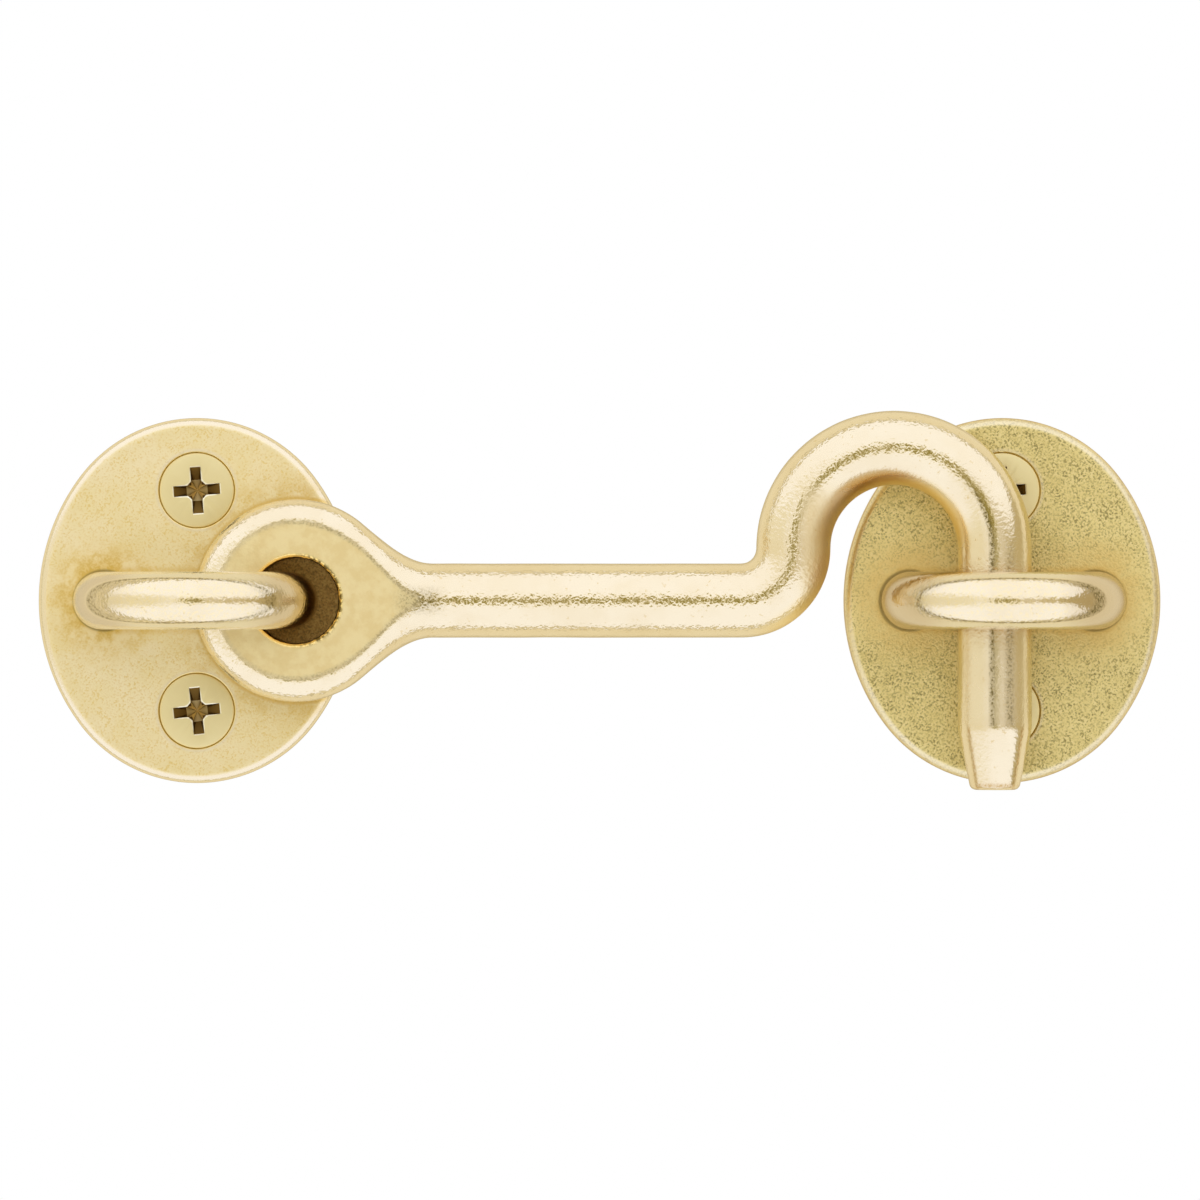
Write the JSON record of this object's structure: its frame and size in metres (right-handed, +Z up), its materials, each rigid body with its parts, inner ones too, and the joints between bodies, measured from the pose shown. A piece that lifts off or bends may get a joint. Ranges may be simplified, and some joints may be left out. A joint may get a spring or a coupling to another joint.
{
  "type": "hook and eye latch",
  "caption": "Brass cabin hook with a ring eye on a staple and oval backplate, its crooked end dropping into a matching keeper staple to hold a door, gate or lid.",
  "frame": {"origin": "centre of the hook plate's flat back face, on the wall", "axes": "+X along the hook towards the keeper plate, +Y into the wall, +Z up"},
  "size_m": [0.1017, 0.0349, 0.0342],
  "materials": {
    "cast_brass": "tumbled satin, unlacquered",
    "plate_brass": "tumbled satin with a fine grain",
    "screw_brass": "smooth turned"
  },
  "bodies": {
    "plates": {"hook_backplate": "plate_brass", "hook_staple": "cast_brass", "hook_screw_upper": "screw_brass", "hook_screw_lower": "screw_brass", "keeper_backplate": "plate_brass", "keeper_staple": "cast_brass", "keeper_screw_upper": "screw_brass", "keeper_screw_lower": "screw_brass"},
    "hook": {"hook": "cast_brass"}
  },
  "joints": [
    {"name": "hook_lift", "type": "hinge", "parent": "plates", "child": "hook", "pos_m": [0.0084, -0.00665, 0], "axis": [0, -1, 0], "range_deg": [-7.2, 157]}
  ]
}
